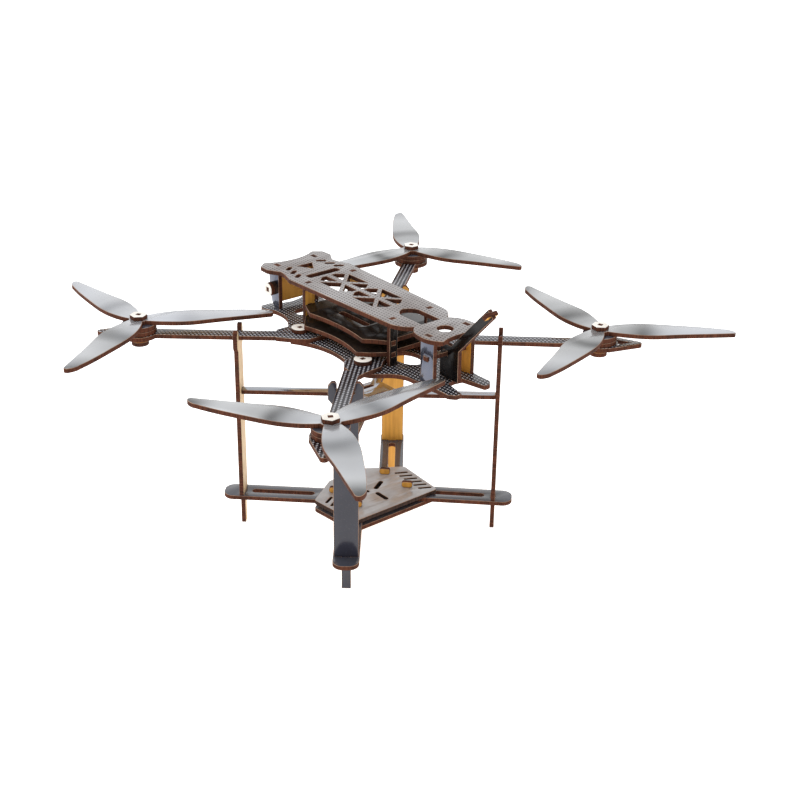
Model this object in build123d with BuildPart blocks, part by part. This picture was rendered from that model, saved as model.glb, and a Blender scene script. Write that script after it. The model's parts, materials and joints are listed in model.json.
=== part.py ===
from build123d import *
import os
from math import asin, atan2, cos, degrees, hypot, radians, sin

os.makedirs("parts", exist_ok=True)

# Driving dimensions, millimetres. Everything is cut from one thickness of sheet.
sheet = 3.0
slip = 0.1  # a slot is this much longer and wider than the tab that goes into it
run_gap = 0.2  # axial gap between a turning disc and a fixed one

# Plan of the machine: +X is its left side, -Y its nose, +Z up. Motors are set by hand, a
# little off a mirrored plan
motor_at = {
    "front_left": (118.0, -101.2),
    "rear_left": (111.0, 101.7),
    "front_right": (-118.6, -101.0),
    "rear_right": (-113.6, 99.8),
}
leg_place = (65.0, 56.0)  # x and y of a stand leg, under the middle of an arm
# how much further out a leg stands, and how many degrees it and its stand arm turn about it
leg_shift = {"front_left": 4.0, "rear_left": 0.0, "front_right": 0.0, "rear_right": 0.0}
leg_turn = {"front_left": -3.0, "rear_left": 9.0, "front_right": 9.0, "rear_right": -4.0}
arm_width = 10.3

# Levels: z = 0 is the underside of the stand's lower plate
foot_z = -18.0
stand_arm_z = sheet
stand_top_z = 2 * sheet
brace_z = 82.0
deck_z = 119.5
arm_z = deck_z + sheet
stator_z = arm_z + sheet
bell_z = stator_z + sheet + run_gap
prop_z = bell_z + sheet
nut_z = prop_z + sheet
keeper_z = deck_z - run_gap
board_low_z = stator_z + sheet + 0.1
board_high_z = 136.5
roof_z = 151.5

# Motors and propellers
peg = 3.0  # side of every square peg
peg_hole = peg + slip
disc_radius = 11.4
keeper_radius = 5.8
axle_hole_radius = 2.2  # round hole that the square axle's corners turn in
nut_radius = 5.8
washer_radius = 5.8
bumper_radius = 13.0
bumper_reach = 32.0
blade_rest = {
    "front_left": 30.1,
    "rear_left": 62.4,
    "front_right": 115.9,
    "rear_right": 18.3,
}

# Uprights between deck and roof
side_x = 15.7  # middle of the nose and tail side plates
nose_post = (19.0, -45.1)
tail_post = (15.4, 40.0)
ear_y = -88.0  # the camera panel's ears and the plane it stands in
ear_z = 137.5
tail_bar = (75.4, 139.4)  # y and z of the bar across the tail cage
fin_y = 78.0

corners = {
    "front_left": (1, -1),
    "rear_left": (1, 1),
    "front_right": (-1, -1),
    "rear_right": (-1, 1),
}


def leg_at(corner):
    side, end = corners[corner]
    share = 1 + leg_shift[corner] / hypot(*leg_place)
    return side * leg_place[0] * share, end * leg_place[1] * share


def leg_location(corner):
    # +X looks outward through the leg's face
    x, y = leg_at(corner)
    return Location((x, y, 0), (0, 0, degrees(atan2(y, x)) + leg_turn[corner]))


def save(part, name):
    part.label = name
    export_step(part, f"parts/{name}.step")


def both_sides(points, side):
    return [(side * x, y) for x, y in points]


# ---------------------------------------------------------------- stand
leg_width = 16.0
foot_width = 6.0
stand_peg = (22.5, 12.5)
stand_peg_width = 5.0
stand_peg_turn = 45.0  # all four pegs face the machine's rear left corner
stand_arm_width = 17.4
stand_arm_tail = 13.2  # from the leg to the arm's outer end
stand_arm_reach = 69.0  # from the leg to the arm's inner end
stand_outline = [(37, 28.5), (40.5, -12), (15.5, -28), (-15.5, -28), (-40.5, -12), (-37, 28.5)]
stand_peg_spots = [(sx * stand_peg[0], sy * stand_peg[1]) for sx in (1, -1) for sy in (1, -1)]


def cut_peg_slots(spots):
    with Locations(*spots):
        Rectangle(sheet + slip, stand_peg_width + slip, rotation=stand_peg_turn, mode=Mode.SUBTRACT)



with BuildPart() as stand_lower_plate:
    with BuildSketch() as lower_outline:
        Polygon(*stand_outline, align=None)
        fillet(lower_outline.vertices(), 3)
        cut_peg_slots(stand_peg_spots)
    extrude(amount=sheet)
save(stand_lower_plate.part, "stand_lower_plate")

with BuildPart() as stand_top_plate:
    with BuildSketch(Plane.XY.offset(stand_top_z)) as top_outline:
        Polygon(*stand_outline, align=None)
        fillet(top_outline.vertices(), 3)
        cut_peg_slots(stand_peg_spots)
        # six vents along each short side
        for side in (1, -1):
            for row in range(6):
                with Locations((side * (32.4 - 0.25 * row), -5.9 + 5.5 * row)):
                    SlotOverall(9.6, 1.9, rotation=side * 28, mode=Mode.SUBTRACT)
        # a plain three-bladed rotor, cut through the middle
        with Locations((0, 3)):
            with PolarLocations(0, 3, start_angle=90):
                with Locations((9.2, 0)):
                    SlotOverall(12.4, 3.2, mode=Mode.SUBTRACT)
    extrude(amount=sheet)
save(stand_top_plate.part, "stand_top_plate")

# Four pegs lock the three layers together; their round heads stand above the top plate
stand_layers = 3 * sheet
head_width = 7.5
head_height = 4.2
with BuildPart() as stand_pegs:
    for x, y in stand_peg_spots:
        facing = Vector(1, 0, 0).rotate(Axis.Z, stand_peg_turn)
        with BuildSketch(Plane(origin=(x, y, 0), x_dir=(-facing.Y, facing.X, 0), z_dir=facing)):
            with Locations((0, stand_layers / 2)):
                Rectangle(stand_peg_width, stand_layers)
            with Locations((0, stand_layers + head_height / 2)):
                RectangleRounded(head_width, head_height, 1.6)
        extrude(amount=sheet / 2, both=True)
save(stand_pegs.part, "stand_pegs")

for corner in corners:
    peg_x, peg_y = [c * d for c, d in zip(corners[corner], stand_peg)]
    leg_spot = leg_location(corner)

    # stand arm: round-cornered strip with a long slot, a leg slot and a peg slot
    with BuildPart() as stand_arm:
        with BuildSketch(Plane.XY.offset(stand_arm_z)):
            with Locations(leg_spot):
                inward = stand_arm_reach + leg_shift[corner]
                with Locations(((stand_arm_tail - inward) / 2, 0)):
                    RectangleRounded(inward + stand_arm_tail, stand_arm_width, 7)
                with Locations((-28.3, 0)):
                    SlotOverall(44, 5, mode=Mode.SUBTRACT)
                Rectangle(sheet + slip, foot_width + slip, mode=Mode.SUBTRACT)
            cut_peg_slots([(peg_x, peg_y)])
        extrude(amount=sheet)
    save(stand_arm.part, f"stand_arm_{corner}")

    # leg: foot tab below the arm, a plain blade, and a fork that holds the machine's arm
    outward = Vector(1, 0, 0).rotate(Axis.Z, leg_spot.orientation.Z)
    face = Plane(origin=leg_spot.position, x_dir=(-outward.Y, outward.X, 0), z_dir=outward)
    shoulder_z = stand_arm_z + sheet
    neck_z = arm_z - 8.0
    fork_half = 11.0
    slot_half = arm_width / 2 + 0.4
    fork_top_z = arm_z + 7.5
    right_half = [
        (0, foot_z),
        (foot_width / 2, foot_z),
        (foot_width / 2, shoulder_z),
        (leg_width / 2, shoulder_z),
        (leg_width / 2, neck_z),
        (fork_half, neck_z + 4.0),
        (fork_half, fork_top_z - 2.8),
        (fork_half - 2.2, fork_top_z),
        (slot_half + 0.9, fork_top_z),
        (slot_half, fork_top_z - 2.0),
        (slot_half, arm_z),
        (0, arm_z),
    ]
    with BuildPart() as leg:
        with BuildSketch(face):
            Polygon(*right_half, align=None)
            mirror(about=Plane.YZ)
            with Locations((0, brace_z + sheet / 2)):
                Rectangle(5 + slip, sheet + slip, mode=Mode.SUBTRACT)
        extrude(amount=sheet / 2, both=True)
    save(leg.part, f"stand_leg_{corner}")

# brace: a flat cross between the legs, its ends tabbed through them
with BuildPart() as stand_brace:
    with BuildSketch(Plane.XY.offset(brace_z)):
        for corner in corners:
            leg_x, leg_y = leg_at(corner)
            reach = hypot(leg_x, leg_y) - sheet / 2 - 0.6
            with Locations(Location((0, 0, 0), (0, 0, degrees(atan2(leg_y, leg_x))))):
                with Locations((reach / 2, 0)):
                    Rectangle(reach, 6.6)
            with Locations(leg_location(corner)):
                with Locations((-sheet / 2, 0)):
                    Rectangle(2 * sheet, 5)
        RectangleRounded(30, 26, 6)
        for side in (1, -1):
            with Locations((0, side * 7)):
                SlotOverall(14, 3, mode=Mode.SUBTRACT)
    extrude(amount=sheet)
save(stand_brace.part, "stand_brace")

# ---------------------------------------------------------------- deck, arms and roof
outer_peg = {-1: (33.0, -36.0), 1: (32.5, 31.5)}  # the washered peg of a nose and a tail arm
inner_peg = {-1: (19.0, -28.0), 1: (19.0, 24.0)}
arm_peg_spots = [(s * x, y) for pegs in (outer_peg, inner_peg) for x, y in pegs.values() for s in (1, -1)]
side_tab = 5.0
post_tab = 4.0
upright_slots = [
    ((side_x, ear_y + 2), (sheet, side_tab)),
    (nose_post, (post_tab, sheet)),
    (tail_post, (post_tab, sheet)),
    ((side_x, tail_bar[0]), (sheet, side_tab)),
]


def cut_upright_slots():
    for (x, y), (along_x, along_y) in upright_slots:
        with Locations((x, y), (-x, y)):
            Rectangle(along_x + slip, along_y + slip, mode=Mode.SUBTRACT)


with BuildPart() as deck:
    with BuildSketch(Plane.XY.offset(deck_z)) as deck_outline:
        with BuildLine():
            ThreePointArc((0, -91.5), (8, -93.3), (15, -97.5))
            Polyline((15, -97.5), (22.5, -97.5), (25.5, -92.5), (20.5, -83))
            ThreePointArc((20.5, -83), (20.3, -74), (22.8, -65))
            Polyline((22.8, -65), (31, -52), (43, -33))
            ThreePointArc((43, -33), (32.5, -1), (42, 32))
            Polyline((42, 32), (36, 43), (27, 49.5))
            ThreePointArc((27, 49.5), (21, 57), (19.5, 66))
            Polyline((19.5, 66), (17.5, 86), (17.5, 97), (14, 101), (9.5, 101), (6, 84), (0, 83))
            Line((0, 83), (0, -91.5))
        make_face()
        mirror(about=Plane.YZ)
        fillet(deck_outline.vertices().filter_by(lambda v: abs(v.X) > 4 and abs(v.Y) > 80), 1.2)
        with Locations((0, 38)):
            Ellipse(8.5, 12, mode=Mode.SUBTRACT)
        with Locations((0, -70)):
            SlotOverall(24, 11, mode=Mode.SUBTRACT)
        with Locations((0, -8)):
            SlotOverall(50, 12, rotation=90, mode=Mode.SUBTRACT)
        with Locations(*arm_peg_spots):
            Rectangle(peg_hole, peg_hole, mode=Mode.SUBTRACT)
        cut_upright_slots()
        with Locations((0, fin_y)):
            Rectangle(sheet + slip, side_tab + slip, mode=Mode.SUBTRACT)
    extrude(amount=sheet)
save(deck.part, "deck_plate")

# The root of a nose arm and of a tail arm, on the +X side, from the strip's tail edge round
nose_root = [(52, -37), (42, -25), (37.5, -21), (14, -20), (12, -22), (12, -33), (25, -42.3)]
nose_root += [(31, -48), (44, -48)]
tail_root = [(46, 29), (40, 21.5), (14, 17), (12, 19), (12, 32), (20.5, 37.4), (27, 43.5)]
tail_root += [(40, 44.5), (49, 46.5)]

for corner, (side, end) in corners.items():
    hub_x, hub_y = motor_at[corner]
    leg_x, leg_y = leg_at(corner)
    out = Vector(hub_x - leg_x, hub_y - leg_y, 0).normalized()
    heading = degrees(atan2(out.Y, out.X))
    hub = Vector(hub_x, hub_y, 0)
    strip_length = 92.0
    tangent_angle = 90 - degrees(asin(bumper_radius / bumper_reach))
    tips = [out.rotate(Axis.Z, a) * bumper_radius for a in (tangent_angle, -tangent_angle)]
    bumper = [hub + out * bumper_reach] + [hub + t for t in tips]
    bumper_hole = [hub + (p - hub) * 0.66 for p in bumper]
    root = both_sides(nose_root if end < 0 else tail_root, side)

    with BuildPart() as arm:
        with BuildSketch(Plane.XY.offset(arm_z)) as arm_outline:
            with Locations(Location((hub_x, hub_y, 0), (0, 0, heading))):
                with Locations((-strip_length / 2, 0)):
                    Rectangle(strip_length, arm_width)
            Polygon(*root, align=None)
            Polygon(*[(p.X, p.Y) for p in bumper], align=None)
            tip_corner = arm_outline.vertices().sort_by_distance(bumper[0])[0]
            fillet(tip_corner, 2.5)
            Polygon(*[(p.X, p.Y) for p in bumper_hole], align=None, mode=Mode.SUBTRACT)
            with Locations((hub_x, hub_y)):
                Circle(bumper_radius - 0.6)
                Circle(axle_hole_radius, mode=Mode.SUBTRACT)
            with Locations(*both_sides([outer_peg[end], inner_peg[end]], side)):
                Rectangle(peg_hole, peg_hole, mode=Mode.SUBTRACT)
        extrude(amount=sheet)
    save(arm.part, f"arm_{corner}")

with BuildPart() as arm_washers:
    with BuildSketch(Plane.XY.offset(stator_z)):
        with Locations(*arm_peg_spots):
            Circle(washer_radius)
            Rectangle(peg_hole, peg_hole, mode=Mode.SUBTRACT)
    extrude(amount=sheet)
save(arm_washers.part, "arm_washers")

with BuildPart() as arm_pegs:
    with BuildSketch(Plane.XY.offset(deck_z)):
        with Locations(*arm_peg_spots):
            Rectangle(peg, peg)
    extrude(amount=3 * sheet)
save(arm_pegs.part, "arm_pegs")

# Roof: a long plate with a winged nose, a truss of triangles, and a waisted tail lobe
truss_half = 12.5
truss_cells = [(5.5, 17.0), (-30.5, 17.0)]  # middle and half length of each cell
lobe_hole_y = 73.0
lobe_hole_radius = 5.25
with BuildPart() as roof:
    with BuildSketch(Plane.XY.offset(roof_z)) as roof_outline:
        with BuildLine():
            ThreePointArc((0, -89.5), (11, -91), (20.5, -95.5))
            Polyline((20.5, -95.5), (27, -90.5), (27.3, -82), (22, -73))
            ThreePointArc((22, -73), (23.2, -66), (26, -58))
            Polyline((26, -58), (22.5, 46.5))
            ThreePointArc((22.5, 46.5), (20, 53), (13.7, 59.5))
            ThreePointArc((13.7, 59.5), (18.5, 64.5), (20.8, 73))
            ThreePointArc((20.8, 73), (19.8, 82), (15, 88.5))
            ThreePointArc((15, 88.5), (8.5, 86.3), (0, 85.3))
            Line((0, 85.3), (0, -89.5))
        make_face()
        mirror(about=Plane.YZ)
        fillet(roof_outline.vertices().filter_by(lambda v: abs(v.X) > 20 and v.Y < -76), 2)
        # truss cells: six-sided windows crossed by two diagonals and a middle bar
        for middle, half in truss_cells:
            with BuildSketch(mode=Mode.PRIVATE) as window:
                Polygon(
                    (truss_half, middle - half + 6),
                    (truss_half, middle + half - 6),
                    (truss_half - 7, middle + half),
                    (7 - truss_half, middle + half),
                    (-truss_half, middle + half - 6),
                    (-truss_half, middle - half + 6),
                    (7 - truss_half, middle - half),
                    (truss_half - 7, middle - half),
                    align=None,
                )
                with Locations((0, middle)):
                    Rectangle(4.4, 2 * half + 2, mode=Mode.SUBTRACT)
                    Rectangle(3.0, 60, rotation=45, mode=Mode.SUBTRACT)
                    Rectangle(3.0, 60, rotation=-45, mode=Mode.SUBTRACT)
            add(window.sketch, mode=Mode.SUBTRACT)
        with Locations((0, -54)):
            RectangleRounded(26.5, 6, 2, mode=Mode.SUBTRACT)
        Polygon((0, -65), (6.5, -76), (-6.5, -76), align=None, mode=Mode.SUBTRACT)
        for side in (1, -1):
            for row in range(3):
                with Locations((side * (17.3 - 1.8 * row), -59.3 - 7.8 * row)):
                    SlotOverall(7.2, 3.2, rotation=side * 35, mode=Mode.SUBTRACT)
        # shield-shaped window ahead of the waist
        with BuildLine():
            Polyline((-7.5, 39), (-7.5, 59), (7.5, 59), (7.5, 39))
            ThreePointArc((7.5, 39), (4.6, 34), (0, 31.3))
            ThreePointArc((0, 31.3), (-4.6, 34), (-7.5, 39))
        make_face(mode=Mode.SUBTRACT)
        with Locations((0, lobe_hole_y)):
            Circle(lobe_hole_radius, mode=Mode.SUBTRACT)
        cut_upright_slots()
    extrude(amount=sheet)
save(roof.part, "roof_plate")

# ---------------------------------------------------------------- uprights
upright_bottom = deck_z + sheet
nose_side = [
    (ear_y + 5, upright_bottom),
    (ear_y - 0.5, upright_bottom),
    (ear_y - 3.5, upright_bottom + 3.5),
    (ear_y - 6, upright_bottom + 12),
    (ear_y - 6.5, roof_z),
    (ear_y + 5, roof_z),
]
for side, name in ((1, "left"), (-1, "right")):
    # side plate of the camera cage, with tabs into deck and roof
    with BuildPart() as nose_plate:
        with BuildSketch(Plane.YZ.offset(side * side_x)):
            Polygon(*nose_side, align=None)
            for level in (deck_z + sheet / 2, roof_z + sheet / 2):
                with Locations((ear_y + 2, level)):
                    Rectangle(side_tab, sheet)
            with Locations((ear_y, ear_z)):
                Rectangle(peg_hole, peg_hole, mode=Mode.SUBTRACT)
        extrude(amount=sheet / 2, both=True)
    save(nose_plate.part, f"nose_side_plate_{name}")

    # side plate of the tail cage
    with BuildPart() as tail_plate:
        with BuildSketch(Plane.YZ.offset(side * side_x)):
            with Locations((tail_bar[0] + 0.6, (upright_bottom + roof_z) / 2)):
                Rectangle(12.4, roof_z - upright_bottom)
            for level in (deck_z + sheet / 2, roof_z + sheet / 2):
                with Locations((tail_bar[0], level)):
                    Rectangle(side_tab, sheet)
            with Locations(tail_bar):
                Rectangle(4 + slip, sheet + slip, mode=Mode.SUBTRACT)
        extrude(amount=sheet / 2, both=True)
    save(tail_plate.part, f"tail_side_plate_{name}")

    # posts that carry the boards' tabs
    for (x, y), width, label in ((nose_post, 8.0, "nose_post"), (tail_post, 6.4, "tail_post")):
        with BuildPart() as post:
            with BuildSketch(Plane.XZ.offset(-y)):
                with Locations((side * x, (upright_bottom + roof_z) / 2)):
                    Rectangle(width, roof_z - upright_bottom)
                for level in (deck_z + sheet / 2, roof_z + sheet / 2):
                    with Locations((side * x, level)):
                        Rectangle(post_tab, sheet)
                for level in (board_low_z, board_high_z):
                    with Locations((side * x, level + sheet / 2)):
                        Rectangle(3.2 + slip, sheet + slip, mode=Mode.SUBTRACT)
            extrude(amount=sheet / 2, both=True)
        save(post.part, f"{label}_{name}")

# ---------------------------------------------------------------- boards
for label, level, corner_x, waist_x in (
    ("control_board", board_low_z, 34.0, 29.5),
    ("power_board", board_high_z, 29.3, 26.3),
):
    nose_end = nose_post[1] + sheet / 2
    tail_end = tail_post[1] - sheet / 2
    with BuildPart() as board:
        with BuildSketch(Plane.XY.offset(level)) as board_outline:
            with BuildLine():
                Polyline((0, nose_end), (23, nose_end), (corner_x, -30))
                ThreePointArc((corner_x, -30), (waist_x, -2), (corner_x, 26.5))
                Polyline((corner_x, 26.5), (corner_x - 6, 32.5), (19, tail_end), (0, tail_end))
                Line((0, tail_end), (0, nose_end))
            make_face()
            mirror(about=Plane.YZ)
            fillet(board_outline.vertices().filter_by(lambda v: abs(v.X) > 20), 1.5)
            for side in (1, -1):
                with Locations((side * nose_post[0], nose_post[1]), (side * tail_post[0], tail_post[1])):
                    Rectangle(3.2, sheet)
            for side in (1, -1):
                with Locations((side * 12, -4)):
                    SlotOverall(30, 5, rotation=90, mode=Mode.SUBTRACT)
        extrude(amount=sheet)
    save(board.part, label)

# ---------------------------------------------------------------- camera
cage_half = side_x - sheet / 2
ear_reach = side_x + 2.5 * sheet
panel_bottom = 126.5
with BuildPart() as camera_panel:
    with BuildSketch(Plane.XZ.offset(-ear_y)):
        with Locations((0, (panel_bottom + roof_z) / 2)):
            Rectangle(2 * cage_half, roof_z - panel_bottom)
        with Locations((0, ear_z)):
            Rectangle(2 * ear_reach, peg)
    extrude(amount=sheet / 2, both=True)
save(camera_panel.part, "camera_panel")

lens_radius = 4.7
for label, layer in (("camera_spacers", 0), ("camera_washers", 1)):
    with BuildPart() as knobs:
        for side in (1, -1):
            inner_face = side * (side_x + sheet / 2 + layer * sheet)
            with BuildSketch(Plane.YZ.offset(inner_face)):
                with Locations((ear_y, ear_z)):
                    Circle(lens_radius)
                    Rectangle(peg_hole, peg_hole, mode=Mode.SUBTRACT)
            extrude(amount=side * sheet)
    save(knobs.part, label)

# ---------------------------------------------------------------- antenna fin
antenna_angle = 47.0
antenna_width = 6.4
antenna_length = 43.0
antenna_foot = (87.5, 143.6)  # y and z where its lower edge leaves the fin
lean = Vector(cos(radians(antenna_angle)), sin(radians(antenna_angle)), 0)
rise = Vector(-lean.Y, lean.X, 0)
foot = Vector(*antenna_foot, 0)
tip_low = foot + lean * antenna_length
tip_high = tip_low + rise * antenna_width
shoulder = foot + rise * antenna_width
fin_outline_points = [
    (70.5, upright_bottom),
    (87.5, upright_bottom),
    antenna_foot,
    (tip_low.X, tip_low.Y),
    (tip_high.X, tip_high.Y),
    (shoulder.X + 1.5, shoulder.Y + 1.6),
    (shoulder.X - 2.0, roof_z - 6.0),
    (70.5, roof_z - 6.0),
]
half_lap = 4.5
with BuildPart() as antenna_fin:
    with BuildSketch(Plane.YZ):
        Polygon(*fin_outline_points, align=None)
        with Locations((fin_y, deck_z + sheet / 2)):
            Rectangle(side_tab, sheet)
        with Locations(tail_bar):
            Rectangle(4 + slip, sheet + slip, mode=Mode.SUBTRACT)
        end_middle = tip_low + rise * (antenna_width / 2) - lean * (half_lap / 2)
        with Locations(Location((end_middle.X, end_middle.Y, 0), (0, 0, antenna_angle))):
            Rectangle(half_lap + 0.2, sheet + slip, mode=Mode.SUBTRACT)
    extrude(amount=sheet / 2, both=True)
save(antenna_fin.part, "antenna_fin")

# cross piece pushed into the slot at the antenna's tip
tip_plane = Plane(
    origin=(0, end_middle.X, end_middle.Y),
    x_dir=(1, 0, 0),
    z_dir=(0, rise.X, rise.Y),
)
with BuildPart() as antenna_cross:
    with BuildSketch(tip_plane):
        Rectangle(9, half_lap)
    extrude(amount=sheet / 2, both=True)
save(antenna_cross.part, "antenna_cross")

with BuildPart() as tail_crossbar:
    with BuildSketch(Plane.YZ.offset(-side_x - sheet / 2 - 0.8)):
        with Locations(tail_bar):
            Rectangle(4, sheet)
    extrude(amount=2 * side_x + sheet + 1.6)
save(tail_crossbar.part, "tail_crossbar")

# ---------------------------------------------------------------- motors and propellers
with BuildSketch() as blade:
    with BuildLine():
        Spline((4, 5), (14, 8.8), (28, 11), (50, 9.8), (70, 7.6), (82, 5.4))
        Spline((82, 5.4), (87.5, 3.2), (89.5, 0.2), (88.2, -1.8))
        Spline((88.2, -1.8), (70, -4.3), (50, -7), (33, -9.4), (19, -8.2), (4, -4.5))
        Line((4, -4.5), (4, 5))
    make_face()

for corner in corners:
    hub_x, hub_y = motor_at[corner]
    rest = blade_rest[corner]

    with BuildPart() as stator:
        with BuildSketch(Plane.XY.offset(stator_z)):
            with Locations((hub_x, hub_y)):
                Circle(disc_radius)
                Circle(axle_hole_radius, mode=Mode.SUBTRACT)
        extrude(amount=sheet)
    save(stator.part, f"motor_stator_{corner}")

    with BuildPart() as bell:
        with BuildSketch(Plane.XY.offset(bell_z)):
            with Locations(Location((hub_x, hub_y, 0), (0, 0, rest))):
                Circle(disc_radius)
                Rectangle(peg_hole, peg_hole, mode=Mode.SUBTRACT)
        extrude(amount=sheet)
    save(bell.part, f"motor_bell_{corner}")

    with BuildPart() as propeller:
        with BuildSketch(Plane.XY.offset(prop_z)):
            with Locations(Location((hub_x, hub_y, 0), (0, 0, rest))):
                Circle(6.4)
                with PolarLocations(0, 3):
                    add(blade.sketch)
                Rectangle(peg_hole, peg_hole, mode=Mode.SUBTRACT)
        extrude(amount=sheet)
    save(propeller.part, f"propeller_{corner}")

    with BuildPart() as nut:
        with BuildSketch(Plane.XY.offset(nut_z)):
            with Locations(Location((hub_x, hub_y, 0), (0, 0, rest))):
                RegularPolygon(nut_radius, 6)
                Rectangle(peg_hole, peg_hole, mode=Mode.SUBTRACT)
        extrude(amount=sheet)
    save(nut.part, f"prop_nut_{corner}")

    with BuildPart() as axle:
        with BuildSketch(Plane.XY.offset(keeper_z - sheet)):
            with Locations(Location((hub_x, hub_y, 0), (0, 0, rest))):
                Rectangle(peg, peg)
        extrude(amount=nut_z + 2 * sheet - keeper_z)
    save(axle.part, f"motor_axle_{corner}")

    with BuildPart() as keeper:
        with BuildSketch(Plane.XY.offset(keeper_z - sheet)):
            with Locations(Location((hub_x, hub_y, 0), (0, 0, rest))):
                Circle(keeper_radius)
                Rectangle(peg_hole, peg_hole, mode=Mode.SUBTRACT)
        extrude(amount=sheet)
    save(keeper.part, f"motor_keeper_{corner}")
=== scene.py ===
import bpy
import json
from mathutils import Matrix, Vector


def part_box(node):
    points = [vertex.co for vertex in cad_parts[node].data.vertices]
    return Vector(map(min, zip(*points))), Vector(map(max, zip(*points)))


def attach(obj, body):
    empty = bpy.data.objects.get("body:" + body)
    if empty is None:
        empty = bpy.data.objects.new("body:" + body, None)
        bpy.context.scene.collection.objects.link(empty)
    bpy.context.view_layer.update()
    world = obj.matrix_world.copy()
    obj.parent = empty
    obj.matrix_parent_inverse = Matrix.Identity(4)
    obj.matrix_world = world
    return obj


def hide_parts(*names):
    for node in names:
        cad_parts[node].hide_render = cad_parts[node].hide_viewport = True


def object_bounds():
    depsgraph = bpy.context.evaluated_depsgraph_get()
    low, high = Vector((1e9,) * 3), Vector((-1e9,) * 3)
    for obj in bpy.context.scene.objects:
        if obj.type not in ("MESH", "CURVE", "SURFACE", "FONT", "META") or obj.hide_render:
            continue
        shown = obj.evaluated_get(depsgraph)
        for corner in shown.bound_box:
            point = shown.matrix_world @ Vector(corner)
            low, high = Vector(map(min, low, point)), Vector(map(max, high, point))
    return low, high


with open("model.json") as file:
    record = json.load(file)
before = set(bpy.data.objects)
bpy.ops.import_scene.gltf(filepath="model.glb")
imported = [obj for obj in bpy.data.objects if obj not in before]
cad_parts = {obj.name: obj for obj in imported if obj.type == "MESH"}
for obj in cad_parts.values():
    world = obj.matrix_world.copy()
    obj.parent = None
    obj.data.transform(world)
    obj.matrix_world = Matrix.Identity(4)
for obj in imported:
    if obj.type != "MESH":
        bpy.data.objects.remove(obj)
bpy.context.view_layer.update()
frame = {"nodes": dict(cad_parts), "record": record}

import bpy
import bmesh
import json
from math import atan2, cos, radians, sin
from mathutils import Matrix, Vector

mm = 0.001
print("stage: frame loaded,", len(frame["nodes"]), "sheet pieces")

# Where things are, read from the frame

bodyOf = {n: b for b, members in frame["record"]["behaviour"]["bodies"].items() for n in members}
cornerNames = ("front_left", "rear_left", "front_right", "rear_right")


def middleOf(node):
    low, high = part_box(node)
    return (low + high) / 2


def hubOf(corner):
    return middleOf("motor_stator_" + corner)


def legOutward(corner):
    leg = middleOf("stand_leg_" + corner)
    return Vector((leg.x, leg.y, 0)).normalized()


# Films, woods and edges

weave = {
    "pitch": 2.65 * mm,  # from one row of dashes to the next
    "dashLength": 0.36,  # half length and half width of a dash, in rows
    "dashWidth": 0.26,
    "slant": 0.55,  # how far a dash leans over in its row
}


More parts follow.
